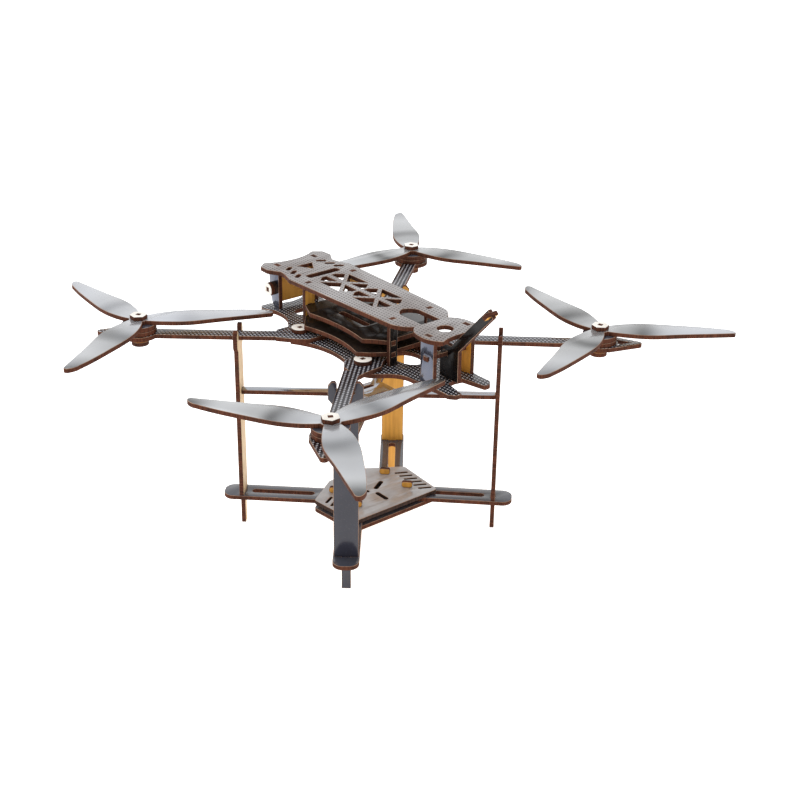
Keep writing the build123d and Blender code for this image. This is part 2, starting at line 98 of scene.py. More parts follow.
def wovenFilm(name, turn, ground, dash, metal, gloss, relief):
    # Printed carbon look: rows of short leaning dashes under a clear gloss
    mat = bpy.data.materials.new(name)
    mat.use_nodes = True
    nodes = mat.node_tree.nodes
    links = mat.node_tree.links
    nodes.clear()

    out = nodes.new("ShaderNodeOutputMaterial")
    out.label = "film surface"
    film = nodes.new("ShaderNodeBsdfPrincipled")
    film.label = "glossy woven-look film"
    place = nodes.new("ShaderNodeTexCoord")
    place.label = "place on the sheet"
    lay = nodes.new("ShaderNodeMapping")
    lay.label = "lay the rows along the piece"
    split = nodes.new("ShaderNodeSeparateXYZ")
    split.label = "along and across the rows"
    rowNumber = nodes.new("ShaderNodeMath")
    rowNumber.label = "which row"
    rowShift = nodes.new("ShaderNodeMath")
    rowShift.label = "every row steps on by half"
    across = nodes.new("ShaderNodeMath")
    across.label = "place across the row"
    acrossMid = nodes.new("ShaderNodeMath")
    acrossMid.label = "from the row's middle"
    lean = nodes.new("ShaderNodeMath")
    lean.label = "lean of the dashes"
    stepped = nodes.new("ShaderNodeMath")
    stepped.label = "stepped place along"
    leaned = nodes.new("ShaderNodeMath")
    leaned.label = "leaned place along"
    along = nodes.new("ShaderNodeMath")
    along.label = "place along the dash"
    alongMid = nodes.new("ShaderNodeMath")
    alongMid.label = "from the dash's middle"
    longPart = nodes.new("ShaderNodeMath")
    longPart.label = "in dash lengths"
    widePart = nodes.new("ShaderNodeMath")
    widePart.label = "in dash widths"
    longSquare = nodes.new("ShaderNodeMath")
    longSquare.label = "length squared"
    wideSquare = nodes.new("ShaderNodeMath")
    wideSquare.label = "width squared"
    oval = nodes.new("ShaderNodeMath")
    oval.label = "oval of one dash"
    dashMask = nodes.new("ShaderNodeMapRange")
    dashMask.label = "soft-edged dash"
    inkNoise = nodes.new("ShaderNodeTexNoise")
    inkNoise.label = "uneven ink"
    inkRange = nodes.new("ShaderNodeMapRange")
    inkRange.label = "how much ink varies"
    inked = nodes.new("ShaderNodeMath")
    inked.label = "inked dash"
    cloud = nodes.new("ShaderNodeTexNoise")
    cloud.label = "slow change in the ground"
    groundTone = nodes.new("ShaderNodeValToRGB")
    groundTone.label = "ground colours"
    dashTone = nodes.new("ShaderNodeMix")
    dashTone.label = "dashes over ground"
    smear = nodes.new("ShaderNodeTexNoise")
    smear.label = "handling smears"
    smearRange = nodes.new("ShaderNodeMapRange")
    smearRange.label = "gloss kept under smears"
    weaveBump = nodes.new("ShaderNodeBump")
    weaveBump.label = "weave stands up a little"
    ripple = nodes.new("ShaderNodeTexNoise")
    ripple.label = "ripple of the glued film"
    rippleBump = nodes.new("ShaderNodeBump")
    rippleBump.label = "film not quite flat"

    rowFrame = nodes.new("NodeFrame")
    rowFrame.label = "rows"
    dashFrame = nodes.new("NodeFrame")
    dashFrame.label = "dashes"
    colourFrame = nodes.new("NodeFrame")
    colourFrame.label = "colour"
    surfaceFrame = nodes.new("NodeFrame")
    surfaceFrame.label = "gloss and relief"
    rowNodes = (lay, split, rowNumber, rowShift, across, acrossMid, lean, stepped, leaned)
    dashNodes = (along, alongMid, longPart, widePart, longSquare, wideSquare, oval, dashMask)
    colourNodes = (inkNoise, inkRange, inked, cloud, groundTone, dashTone)
    surfaceNodes = (smear, smearRange, weaveBump, ripple, rippleBump)
    groups = (
        (rowFrame, rowNodes),
        (dashFrame, dashNodes),
        (colourFrame, colourNodes),
        (surfaceFrame, surfaceNodes),
    )
    for column, (group, members) in enumerate(groups):
        for row, node in enumerate(members):
            node.parent = group
            node.location = (column * 520 - 1700 + (row % 2) * 220, 500 - row * 170)
    place.location = (-2000, 200)
    film.location = (500, 200)
    out.location = (820, 200)

    lay.vector_type = "POINT"
    lay.inputs["Rotation"].default_value = (0, 0, -turn)
    lay.inputs["Scale"].default_value = (1 / weave["pitch"],) * 3
    rowNumber.operation = "FLOOR"
    rowShift.operation = "MULTIPLY"
    rowShift.inputs[1].default_value = 0.5
    across.operation = "FRACT"
    acrossMid.operation = "SUBTRACT"
    acrossMid.inputs[1].default_value = 0.5
    lean.operation = "MULTIPLY"
    lean.inputs[1].default_value = weave["slant"]
    stepped.operation = "ADD"
    leaned.operation = "ADD"
    along.operation = "FRACT"
    alongMid.operation = "SUBTRACT"
    alongMid.inputs[1].default_value = 0.5
    longPart.operation = "DIVIDE"
    longPart.inputs[1].default_value = weave["dashLength"]
    widePart.operation = "DIVIDE"
    widePart.inputs[1].default_value = weave["dashWidth"]
    longSquare.operation = "POWER"
    longSquare.inputs[1].default_value = 2
    wideSquare.operation = "POWER"
    wideSquare.inputs[1].default_value = 2
    oval.operation = "ADD"
    dashMask.inputs["From Min"].default_value = 1.15
    dashMask.inputs["From Max"].default_value = 0.55
    inkNoise.inputs["Scale"].default_value = 420
    inkNoise.inputs["Detail"].default_value = 2
    inkRange.inputs["To Min"].default_value = 0.55
    inkRange.inputs["To Max"].default_value = 1.0
    inked.operation = "MULTIPLY"
    cloud.inputs["Scale"].default_value = 16
    cloud.inputs["Detail"].default_value = 3
    groundTone.color_ramp.elements[0].position = 0.3
    red, green, blue = ground
    groundTone.color_ramp.elements[0].color = (red * 0.62, green * 0.54, blue * 0.5, 1)
    groundTone.color_ramp.elements[1].position = 0.7
    groundTone.color_ramp.elements[1].color = (red * 1.25, green * 1.25, blue * 1.25, 1)
    dashTone.data_type = "RGBA"
    dashTone.inputs["B"].default_value = (*dash, 1)
    smear.inputs["Scale"].default_value = 60
    smear.inputs["Detail"].default_value = 4
    smearRange.inputs["To Min"].default_value = gloss * 0.6
    smearRange.inputs["To Max"].default_value = gloss * 1.5
    weaveBump.inputs["Strength"].default_value = relief
    weaveBump.inputs["Distance"].default_value = 0.1 * mm
    ripple.inputs["Scale"].default_value = 14
    ripple.inputs["Detail"].default_value = 1
    rippleBump.inputs["Strength"].default_value = 0.25
    rippleBump.inputs["Distance"].default_value = 1.0 * mm
    film.inputs["Metallic"].default_value = metal
    film.inputs["IOR"].default_value = 1.42
    film.inputs["Coat Weight"].default_value = 0.15
    film.inputs["Coat Roughness"].default_value = 0.04

    links.new(place.outputs["Object"], lay.inputs["Vector"])
    links.new(lay.outputs["Vector"], split.inputs["Vector"])
    links.new(split.outputs["Y"], rowNumber.inputs[0])
    links.new(rowNumber.outputs[0], rowShift.inputs[0])
    links.new(split.outputs["Y"], across.inputs[0])
    links.new(across.outputs[0], acrossMid.inputs[0])
    links.new(acrossMid.outputs[0], lean.inputs[0])
    links.new(split.outputs["X"], stepped.inputs[0])
    links.new(rowShift.outputs[0], stepped.inputs[1])
    links.new(stepped.outputs[0], leaned.inputs[0])
    links.new(lean.outputs[0], leaned.inputs[1])
    links.new(leaned.outputs[0], along.inputs[0])
    links.new(along.outputs[0], alongMid.inputs[0])
    links.new(alongMid.outputs[0], longPart.inputs[0])
    links.new(acrossMid.outputs[0], widePart.inputs[0])
    links.new(longPart.outputs[0], longSquare.inputs[0])
    links.new(widePart.outputs[0], wideSquare.inputs[0])
    links.new(longSquare.outputs[0], oval.inputs[0])
    links.new(wideSquare.outputs[0], oval.inputs[1])
    links.new(oval.outputs[0], dashMask.inputs["Value"])
    links.new(place.outputs["Object"], inkNoise.inputs["Vector"])
    links.new(inkNoise.outputs["Fac"], inkRange.inputs["Value"])
    links.new(dashMask.outputs["Result"], inked.inputs[0])
    links.new(inkRange.outputs["Result"], inked.inputs[1])
    links.new(place.outputs["Object"], cloud.inputs["Vector"])
    links.new(cloud.outputs["Fac"], groundTone.inputs["Fac"])
    links.new(groundTone.outputs["Color"], dashTone.inputs["A"])
    links.new(inked.outputs[0], dashTone.inputs["Factor"])
    links.new(dashTone.outputs["Result"], film.inputs["Base Color"])
    links.new(place.outputs["Object"], smear.inputs["Vector"])
    links.new(smear.outputs["Fac"], smearRange.inputs["Value"])
    links.new(smearRange.outputs["Result"], film.inputs["Roughness"])
    links.new(dashMask.outputs["Result"], weaveBump.inputs["Height"])
    links.new(place.outputs["Object"], ripple.inputs["Vector"])
    links.new(ripple.outputs["Fac"], rippleBump.inputs["Height"])
    links.new(rippleBump.outputs["Normal"], weaveBump.inputs["Normal"])
    links.new(weaveBump.outputs["Normal"], film.inputs["Normal"])
    links.new(film.outputs["BSDF"], out.inputs["Surface"])
    return mat


def smoothFilm(name, low, high, metal, gloss, cloudScale, coat, shine):
    # Plain glossy film: a slow cloudy tone, fine specks and smeared gloss
    mat = bpy.data.materials.new(name)
    mat.use_nodes = True
    nodes = mat.node_tree.nodes
    links = mat.node_tree.links
    nodes.clear()

    out = nodes.new("ShaderNodeOutputMaterial")
    out.label = "film surface"
    film = nodes.new("ShaderNodeBsdfPrincipled")
    film.label = "smooth glossy film"
    place = nodes.new("ShaderNodeTexCoord")
    place.label = "place on the sheet"
    cloud = nodes.new("ShaderNodeTexNoise")
    cloud.label = "cloudy tone"
    tone = nodes.new("ShaderNodeValToRGB")
    tone.label = "film colours"
    fleck = nodes.new("ShaderNodeTexNoise")
    fleck.label = "fine flecks"
    fleckRange = nodes.new("ShaderNodeMapRange")
    fleckRange.label = "how strong the flecks are"
    flecked = nodes.new("ShaderNodeMix")
    flecked.label = "flecks over the tone"
    smear = nodes.new("ShaderNodeTexNoise")
    smear.label = "handling smears"
    smearRange = nodes.new("ShaderNodeMapRange")
    smearRange.label = "gloss kept under smears"
    ripple = nodes.new("ShaderNodeTexNoise")
    ripple.label = "ripple of the glued film"
    rippleBump = nodes.new("ShaderNodeBump")
    rippleBump.label = "film not quite flat"

    colourFrame = nodes.new("NodeFrame")
    colourFrame.label = "colour"
    surfaceFrame = nodes.new("NodeFrame")
    surfaceFrame.label = "gloss and ripple"
    groups = (
        (colourFrame, (cloud, tone, fleck, fleckRange, flecked)),
        (surfaceFrame, (smear, smearRange, ripple, rippleBump)),
    )
    for column, (group, members) in enumerate(groups):
        for row, node in enumerate(members):
            node.parent = group
            node.location = (column * 560 - 1000 + (row % 2) * 240, 400 - row * 190)
    place.location = (-1300, 200)
    film.location = (200, 200)
    out.location = (520, 200)

    cloud.inputs["Scale"].default_value = cloudScale
    cloud.inputs["Detail"].default_value = 3
    tone.color_ramp.elements[0].position = 0.32
    tone.color_ramp.elements[0].color = (*low, 1)
    tone.color_ramp.elements[1].position = 0.68
    tone.color_ramp.elements[1].color = (*high, 1)
    fleck.inputs["Scale"].default_value = 900
    fleckRange.inputs["From Min"].default_value = 0.6
    fleckRange.inputs["From Max"].default_value = 0.9
    fleckRange.inputs["To Max"].default_value = 0.05
    flecked.data_type = "RGBA"
    flecked.inputs["B"].default_value = (0.6, 0.6, 0.62, 1)
    smear.inputs["Scale"].default_value = 45
    smear.inputs["Detail"].default_value = 4
    smearRange.inputs["To Min"].default_value = gloss * 0.6
    smearRange.inputs["To Max"].default_value = gloss * 1.5
    ripple.inputs["Scale"].default_value = 16
    ripple.inputs["Detail"].default_value = 1
    rippleBump.inputs["Strength"].default_value = 0.3
    rippleBump.inputs["Distance"].default_value = 1.0 * mm
    film.inputs["Metallic"].default_value = metal
    film.inputs["IOR"].default_value = 1.42
    film.inputs["Specular IOR Level"].default_value = shine
    film.inputs["Coat Weight"].default_value = coat
    film.inputs["Coat Roughness"].default_value = 0.03

    links.new(place.outputs["Object"], cloud.inputs["Vector"])
    links.new(cloud.outputs["Fac"], tone.inputs["Fac"])
    links.new(place.outputs["Object"], fleck.inputs["Vector"])
    links.new(fleck.outputs["Fac"], fleckRange.inputs["Value"])
    links.new(fleckRange.outputs["Result"], flecked.inputs["Factor"])
    links.new(tone.outputs["Color"], flecked.inputs["A"])
    links.new(flecked.outputs["Result"], film.inputs["Base Color"])
    links.new(place.outputs["Object"], smear.inputs["Vector"])
    links.new(smear.outputs["Fac"], smearRange.inputs["Value"])
    links.new(smearRange.outputs["Result"], film.inputs["Roughness"])
    links.new(place.outputs["Object"], ripple.inputs["Vector"])
    links.new(ripple.outputs["Fac"], rippleBump.inputs["Height"])
    links.new(rippleBump.outputs["Normal"], film.inputs["Normal"])
    links.new(film.outputs["BSDF"], out.inputs["Surface"])
    return mat


def propellerFilm(name, hub, shift):
    # Soft metallic film with painted reflections: dark bands along each blade stand in for reflections in
    # the film, stronger on some blades than on others
    mat = bpy.data.materials.new(name)
    mat.use_nodes = True
    nodes = mat.node_tree.nodes
    links = mat.node_tree.links
    nodes.clear()

    out = nodes.new("ShaderNodeOutputMaterial")
    out.label = "film surface"
    film = nodes.new("ShaderNodeBsdfPrincipled")
    film.label = "soft metallic film"
    place = nodes.new("ShaderNodeTexCoord")
    place.label = "place on the sheet"
    fromHub = nodes.new("ShaderNodeVectorMath")
    fromHub.label = "from the hub"
    reach = nodes.new("ShaderNodeVectorMath")
    reach.label = "distance from the hub"
    inReach = nodes.new("ShaderNodeMath")
    inReach.label = "share of the blade's length"
    drift = nodes.new("ShaderNodeTexNoise")
    drift.label = "bands wander"
    driftRange = nodes.new("ShaderNodeMapRange")
    driftRange.label = "how far they wander"
    drifted = nodes.new("ShaderNodeMath")
    drifted.label = "wandering share"
    paintedReflectionBands = nodes.new("ShaderNodeValToRGB")
    paintedReflectionBands.label = "painted reflection tone along the blade"
    reflectionBandNoise = nodes.new("ShaderNodeTexNoise")
    reflectionBandNoise.label = "which blades carry more painted reflection"
    reflectionBandStrength = nodes.new("ShaderNodeMapRange")
    reflectionBandStrength.label = "strength of the painted reflection"
    reflectionBandsOverFilm = nodes.new("ShaderNodeMix")
    reflectionBandsOverFilm.label = "painted reflection over the plain tone"
    brush = nodes.new("ShaderNodeTexNoise")
    brush.label = "fine grain of the film"
    brushRange = nodes.new("ShaderNodeMapRange")
    brushRange.label = "gloss along the grain"
    ripple = nodes.new("ShaderNodeTexNoise")
    ripple.label = "ripple of the glued film"
    rippleBump = nodes.new("ShaderNodeBump")
    rippleBump.label = "film not quite flat"

    reachFrame = nodes.new("NodeFrame")
    reachFrame.label = "distance from the hub"
    paintedReflectionFrame = nodes.new("NodeFrame")
    paintedReflectionFrame.label = "painted reflection bands"
    surfaceFrame = nodes.new("NodeFrame")
    surfaceFrame.label = "gloss and ripple"
    groups = (
        (reachFrame, (fromHub, reach, inReach, drift, driftRange, drifted)),
        (paintedReflectionFrame, (paintedReflectionBands, reflectionBandNoise, reflectionBandStrength, reflectionBandsOverFilm)),
        (surfaceFrame, (brush, brushRange, ripple, rippleBump)),
    )
    for column, (group, members) in enumerate(groups):
        for row, node in enumerate(members):
            node.parent = group
            node.location = (column * 560 - 1500 + (row % 2) * 240, 400 - row * 190)
    place.location = (-1800, 200)
    film.location = (300, 200)
    out.location = (620, 200)

    fromHub.operation = "SUBTRACT"
    fromHub.inputs[1].default_value = hub
    reach.operation = "LENGTH"
    inReach.operation = "DIVIDE"
    inReach.inputs[1].default_value = 90 * mm
    drift.inputs["Scale"].default_value = 18
    driftRange.inputs["To Min"].default_value = -0.14
    driftRange.inputs["To Max"].default_value = 0.14
    drifted.operation = "ADD"
    # painted reflection: the dark stops about a third of the way out and at the tip stand in for
    # reflections in the blade film
    tones = ((0.1, 0.50), (0.22, 0.34), (0.36, 0.09), (0.52, 0.40), (0.74, 0.50), (1.0, 0.08))
    while len(paintedReflectionBands.color_ramp.elements) < len(tones):
        paintedReflectionBands.color_ramp.elements.new(0.5)
    for stop, (position, tone) in zip(paintedReflectionBands.color_ramp.elements, tones):
        stop.position = position
        stop.color = (tone * 0.96, tone * 0.98, tone, 1)
    paintedReflectionBands.color_ramp.interpolation = "EASE"
    # noise picks which blades show the painted reflection bands strongly
    reflectionBandNoise.noise_dimensions = "4D"
    reflectionBandNoise.inputs["W"].default_value = shift
    reflectionBandNoise.inputs["Scale"].default_value = 11
    reflectionBandNoise.inputs["Detail"].default_value = 1
    reflectionBandStrength.inputs["From Min"].default_value = 0.30
    reflectionBandStrength.inputs["From Max"].default_value = 0.58
    reflectionBandsOverFilm.data_type = "RGBA"
    # plain film tone where no painted reflection band lies
    reflectionBandsOverFilm.inputs["A"].default_value = (0.55, 0.57, 0.62, 1)
    brush.inputs["Scale"].default_value = 350
    brushRange.inputs["To Min"].default_value = 0.16
    brushRange.inputs["To Max"].default_value = 0.3
    ripple.inputs["Scale"].default_value = 12
    ripple.inputs["Detail"].default_value = 1
    rippleBump.inputs["Strength"].default_value = 0.35
    rippleBump.inputs["Distance"].default_value = 1.2 * mm
    film.inputs["Metallic"].default_value = 0.6
    film.inputs["Coat Weight"].default_value = 0.4
    film.inputs["Coat Roughness"].default_value = 0.08

    links.new(place.outputs["Object"], fromHub.inputs[0])
    links.new(fromHub.outputs["Vector"], reach.inputs[0])
    links.new(reach.outputs["Value"], inReach.inputs[0])
    links.new(place.outputs["Object"], drift.inputs["Vector"])
    links.new(drift.outputs["Fac"], driftRange.inputs["Value"])
    links.new(inReach.outputs[0], drifted.inputs[0])
    links.new(driftRange.outputs["Result"], drifted.inputs[1])
    links.new(drifted.outputs[0], paintedReflectionBands.inputs["Fac"])
    links.new(place.outputs["Object"], reflectionBandNoise.inputs["Vector"])
    links.new(reflectionBandNoise.outputs["Fac"], reflectionBandStrength.inputs["Value"])
    links.new(reflectionBandStrength.outputs["Result"], reflectionBandsOverFilm.inputs["Factor"])
    links.new(paintedReflectionBands.outputs["Color"], reflectionBandsOverFilm.inputs["B"])
    links.new(reflectionBandsOverFilm.outputs["Result"], film.inputs["Base Color"])
    links.new(place.outputs["Object"], brush.inputs["Vector"])
    links.new(brush.outputs["Fac"], brushRange.inputs["Value"])
    links.new(brushRange.outputs["Result"], film.inputs["Roughness"])
    links.new(place.outputs["Object"], ripple.inputs["Vector"])
    links.new(ripple.outputs["Fac"], rippleBump.inputs["Height"])
    links.new(rippleBump.outputs["Normal"], film.inputs["Normal"])
    links.new(film.outputs["BSDF"], out.inputs["Surface"])
    return mat


def brushedSilverFilm(name, turn):
    # Silver film brushed along one way, with brown clouds and fine scratches
    mat = bpy.data.materials.new(name)
    mat.use_nodes = True
    nodes = mat.node_tree.nodes
    links = mat.node_tree.links
    nodes.clear()

    out = nodes.new("ShaderNodeOutputMaterial")
    out.label = "film surface"
    film = nodes.new("ShaderNodeBsdfPrincipled")
    film.label = "brushed silver film"
    place = nodes.new("ShaderNodeTexCoord")
    place.label = "place on the sheet"
    lay = nodes.new("ShaderNodeMapping")
    lay.label = "stretch along the brushing"
    brush = nodes.new("ShaderNodeTexNoise")
    brush.label = "brush lines"
    brushTone = nodes.new("ShaderNodeValToRGB")
    brushTone.label = "silver tones"
    cloud = nodes.new("ShaderNodeTexNoise")
    cloud.label = "warm clouds"
    cloudRange = nodes.new("ShaderNodeMapRange")
    cloudRange.label = "strength of the clouds"
    clouded = nodes.new("ShaderNodeMix")
    clouded.label = "clouds over silver"
    brushGloss = nodes.new("ShaderNodeMapRange")
    brushGloss.label = "gloss along the brushing"
    brushBump = nodes.new("ShaderNodeBump")
    brushBump.label = "brush lines cut in"

    colourFrame = nodes.new("NodeFrame")
    colourFrame.label = "silver and clouds"
    surfaceFrame = nodes.new("NodeFrame")
    surfaceFrame.label = "gloss and scratches"
    groups = (
        (colourFrame, (lay, brush, brushTone, cloud, cloudRange, clouded)),
        (surfaceFrame, (brushGloss, brushBump)),
    )
    for column, (group, members) in enumerate(groups):
        for row, node in enumerate(members):
            node.parent = group
            node.location = (column * 560 - 1000 + (row % 2) * 240, 400 - row * 190)
    place.location = (-1300, 200)
    film.location = (200, 200)
    out.location = (520, 200)

    lay.inputs["Rotation"].default_value = (0, 0, -turn)
    lay.inputs["Scale"].default_value = (60, 700, 60)
    brush.inputs["Scale"].default_value = 1
    brush.inputs["Detail"].default_value = 4
    brushTone.color_ramp.elements[0].position = 0.25
    brushTone.color_ramp.elements[0].color = (0.32, 0.32, 0.335, 1)
    brushTone.color_ramp.elements[1].position = 0.7
    brushTone.color_ramp.elements[1].color = (0.40, 0.40, 0.415, 1)
    cloud.inputs["Scale"].default_value = 60
    cloud.inputs["Detail"].default_value = 4
    cloud.inputs["Roughness"].default_value = 0.65
    cloudRange.inputs["From Min"].default_value = 0.42
    cloudRange.inputs["From Max"].default_value = 0.75
    cloudRange.inputs["To Max"].default_value = 0.8
    clouded.data_type = "RGBA"
    clouded.inputs["B"].default_value = (0.25, 0.235, 0.235, 1)
    brushGloss.inputs["To Min"].default_value = 0.22
    brushGloss.inputs["To Max"].default_value = 0.4
    brushBump.inputs["Strength"].default_value = 0.06
    brushBump.inputs["Distance"].default_value = 0.05 * mm
    film.inputs["Metallic"].default_value = 0.15
    film.inputs["Coat Weight"].default_value = 0.3
    film.inputs["Coat Roughness"].default_value = 0.1

    links.new(place.outputs["Object"], lay.inputs["Vector"])
    links.new(lay.outputs["Vector"], brush.inputs["Vector"])
    links.new(brush.outputs["Fac"], brushTone.inputs["Fac"])
    links.new(place.outputs["Object"], cloud.inputs["Vector"])
    links.new(cloud.outputs["Fac"], cloudRange.inputs["Value"])
    links.new(cloudRange.outputs["Result"], clouded.inputs["Factor"])
    links.new(brushTone.outputs["Color"], clouded.inputs["A"])
    links.new(clouded.outputs["Result"], film.inputs["Base Color"])
    links.new(brush.outputs["Fac"], brushGloss.inputs["Value"])
    links.new(brushGloss.outputs["Result"], film.inputs["Roughness"])
    links.new(brush.outputs["Fac"], brushBump.inputs["Height"])
    links.new(brushBump.outputs["Normal"], film.inputs["Normal"])
    links.new(film.outputs["BSDF"], out.inputs["Surface"])
    return mat


def bareWood(name, light, dark, grainWay):
    # Unfilmed ply: long grain, pores, and a faint burn
    mat = bpy.data.materials.new(name)
    mat.use_nodes = True
    nodes = mat.node_tree.nodes
    links = mat.node_tree.links
    nodes.clear()

    out = nodes.new("ShaderNodeOutputMaterial")
    out.label = "wood surface"
    wood = nodes.new("ShaderNodeBsdfPrincipled")
    wood.label = "bare ply"
    place = nodes.new("ShaderNodeTexCoord")
    place.label = "place on the sheet"
    stretch = nodes.new("ShaderNodeMapping")
    stretch.label = "stretch along the grain"
    grain = nodes.new("ShaderNodeTexNoise")
    grain.label = "long grain"
    grainTone = nodes.new("ShaderNodeValToRGB")
    grainTone.label = "wood colours"
    pores = nodes.new("ShaderNodeTexNoise")
    pores.label = "pores"
    poreRange = nodes.new("ShaderNodeMapRange")
    poreRange.label = "how dark the pores are"
    pored = nodes.new("ShaderNodeMix")
    pored.label = "pores over grain"
    patch = nodes.new("ShaderNodeTexNoise")
    patch.label = "patches in the veneer"
    patchRange = nodes.new("ShaderNodeMapRange")
    patchRange.label = "strength of the patches"
    patched = nodes.new("ShaderNodeMix")
    patched.label = "patches over the rest"
    grainBump = nodes.new("ShaderNodeBump")
    grainBump.label = "raised grain"

    grainFrame = nodes.new("NodeFrame")
    grainFrame.label = "grain"
    poreFrame = nodes.new("NodeFrame")
    poreFrame.label = "pores and patches"
    groups = (
        (grainFrame, (stretch, grain, grainTone, grainBump)),
        (poreFrame, (pores, poreRange, pored, patch, patchRange, patched)),
    )
    for column, (group, members) in enumerate(groups):
        for row, node in enumerate(members):
            node.parent = group
            node.location = (column * 560 - 1000 + (row % 2) * 240, 400 - row * 190)
    place.location = (-1300, 200)
    wood.location = (200, 200)
    out.location = (520, 200)

    stretch.inputs["Scale"].default_value = [30 if way else 520 for way in grainWay]
    grain.inputs["Scale"].default_value = 1
    grain.inputs["Detail"].default_value = 5
    grain.inputs["Distortion"].default_value = 0.4
    grainTone.color_ramp.elements[0].position = 0.3
    grainTone.color_ramp.elements[0].color = (*dark, 1)
    grainTone.color_ramp.elements[1].position = 0.7
    grainTone.color_ramp.elements[1].color = (*light, 1)
    pores.inputs["Scale"].default_value = 1600
    poreRange.inputs["From Min"].default_value = 0.6
    poreRange.inputs["From Max"].default_value = 0.8
    poreRange.inputs["To Max"].default_value = 0.5
    pored.data_type = "RGBA"
    pored.inputs["B"].default_value = (*[c * 0.5 for c in dark], 1)
    patch.inputs["Scale"].default_value = 70
    patch.inputs["Detail"].default_value = 3
    patchRange.inputs["From Min"].default_value = 0.5
    patchRange.inputs["From Max"].default_value = 0.8
    patchRange.inputs["To Max"].default_value = 0.4
    patched.data_type = "RGBA"
    patched.inputs["B"].default_value = (*[c * 0.7 for c in dark], 1)
    grainBump.inputs["Strength"].default_value = 0.3
    grainBump.inputs["Distance"].default_value = 0.06 * mm
    wood.inputs["Roughness"].default_value = 0.62

    links.new(place.outputs["Object"], stretch.inputs["Vector"])
    links.new(stretch.outputs["Vector"], grain.inputs["Vector"])
    links.new(grain.outputs["Fac"], grainTone.inputs["Fac"])
    links.new(place.outputs["Object"], pores.inputs["Vector"])
    links.new(pores.outputs["Fac"], poreRange.inputs["Value"])
    links.new(poreRange.outputs["Result"], pored.inputs["Factor"])
    links.new(grainTone.outputs["Color"], pored.inputs["A"])
    links.new(place.outputs["Object"], patch.inputs["Vector"])
    links.new(patch.outputs["Fac"], patchRange.inputs["Value"])
    links.new(patchRange.outputs["Result"], patched.inputs["Factor"])
    links.new(pored.outputs["Result"], patched.inputs["A"])
    links.new(patched.outputs["Result"], wood.inputs["Base Color"])
    links.new(grain.outputs["Fac"], grainBump.inputs["Height"])
    links.new(grainBump.outputs["Normal"], wood.inputs["Normal"])
    links.new(wood.outputs["BSDF"], out.inputs["Surface"])
    return mat


def charredEdge(name, through, light, dark):
    # Laser-cut edge: red-brown char with fine beam streaks through the thickness
    mat = bpy.data.materials.new(name)
    mat.use_nodes = True
    nodes = mat.node_tree.nodes
    links = mat.node_tree.links
    nodes.clear()

    out = nodes.new("ShaderNodeOutputMaterial")
    out.label = "edge surface"
    char = nodes.new("ShaderNodeBsdfPrincipled")
    char.label = "charred ply edge"
    place = nodes.new("ShaderNodeTexCoord")
    place.label = "place on the piece"
    squeeze = nodes.new("ShaderNodeMapping")
    squeeze.label = "streaks run through the sheet"
    streak = nodes.new("ShaderNodeTexNoise")
    streak.label = "beam streaks"
    streakTone = nodes.new("ShaderNodeValToRGB")
    streakTone.label = "char colours"
    patch = nodes.new("ShaderNodeTexNoise")
    patch.label = "soot patches"
    patchRange = nodes.new("ShaderNodeMapRange")
    patchRange.label = "how black the soot is"
    sooted = nodes.new("ShaderNodeMix")
    sooted.label = "soot over char"
    streakBump = nodes.new("ShaderNodeBump")
    streakBump.label = "streaks cut in"

    streakFrame = nodes.new("NodeFrame")
    streakFrame.label = "beam streaks"
    sootFrame = nodes.new("NodeFrame")
    sootFrame.label = "soot"
    groups = (
        (streakFrame, (squeeze, streak, streakTone, streakBump)),
        (sootFrame, (patch, patchRange, sooted)),
    )
    for column, (group, members) in enumerate(groups):
        for row, node in enumerate(members):
            node.parent = group
            node.location = (column * 560 - 1000 + (row % 2) * 240, 400 - row * 190)
    place.location = (-1300, 200)
    char.location = (200, 200)
    out.location = (520, 200)

    squeeze.inputs["Scale"].default_value = [90 if way else 1100 for way in through]
    streak.inputs["Scale"].default_value = 1
    streak.inputs["Detail"].default_value = 3
    streakTone.color_ramp.elements[0].position = 0.3
    streakTone.color_ramp.elements[0].color = (*dark, 1)
    streakTone.color_ramp.elements[1].position = 0.72
    streakTone.color_ramp.elements[1].color = (*light, 1)
    patch.inputs["Scale"].default_value = 75
    patch.inputs["Detail"].default_value = 3
    patchRange.inputs["From Min"].default_value = 0.48
    patchRange.inputs["From Max"].default_value = 0.72
    patchRange.inputs["To Max"].default_value = 0.7
    sooted.data_type = "RGBA"
    sooted.inputs["B"].default_value = (0.028, 0.014, 0.010, 1)
    streakBump.inputs["Strength"].default_value = 0.5
    streakBump.inputs["Distance"].default_value = 0.08 * mm
    char.inputs["Roughness"].default_value = 0.7
    char.inputs["Specular IOR Level"].default_value = 0.08

    links.new(place.outputs["Object"], squeeze.inputs["Vector"])
    links.new(squeeze.outputs["Vector"], streak.inputs["Vector"])
    links.new(streak.outputs["Fac"], streakTone.inputs["Fac"])
    links.new(place.outputs["Object"], patch.inputs["Vector"])
    links.new(patch.outputs["Fac"], patchRange.inputs["Value"])
    links.new(patchRange.outputs["Result"], sooted.inputs["Factor"])
    links.new(streakTone.outputs["Color"], sooted.inputs["A"])
    links.new(sooted.outputs["Result"], char.inputs["Base Color"])
    links.new(streak.outputs["Fac"], streakBump.inputs["Height"])
    links.new(streakBump.outputs["Normal"], char.inputs["Normal"])
    links.new(char.outputs["BSDF"], out.inputs["Surface"])
    return mat


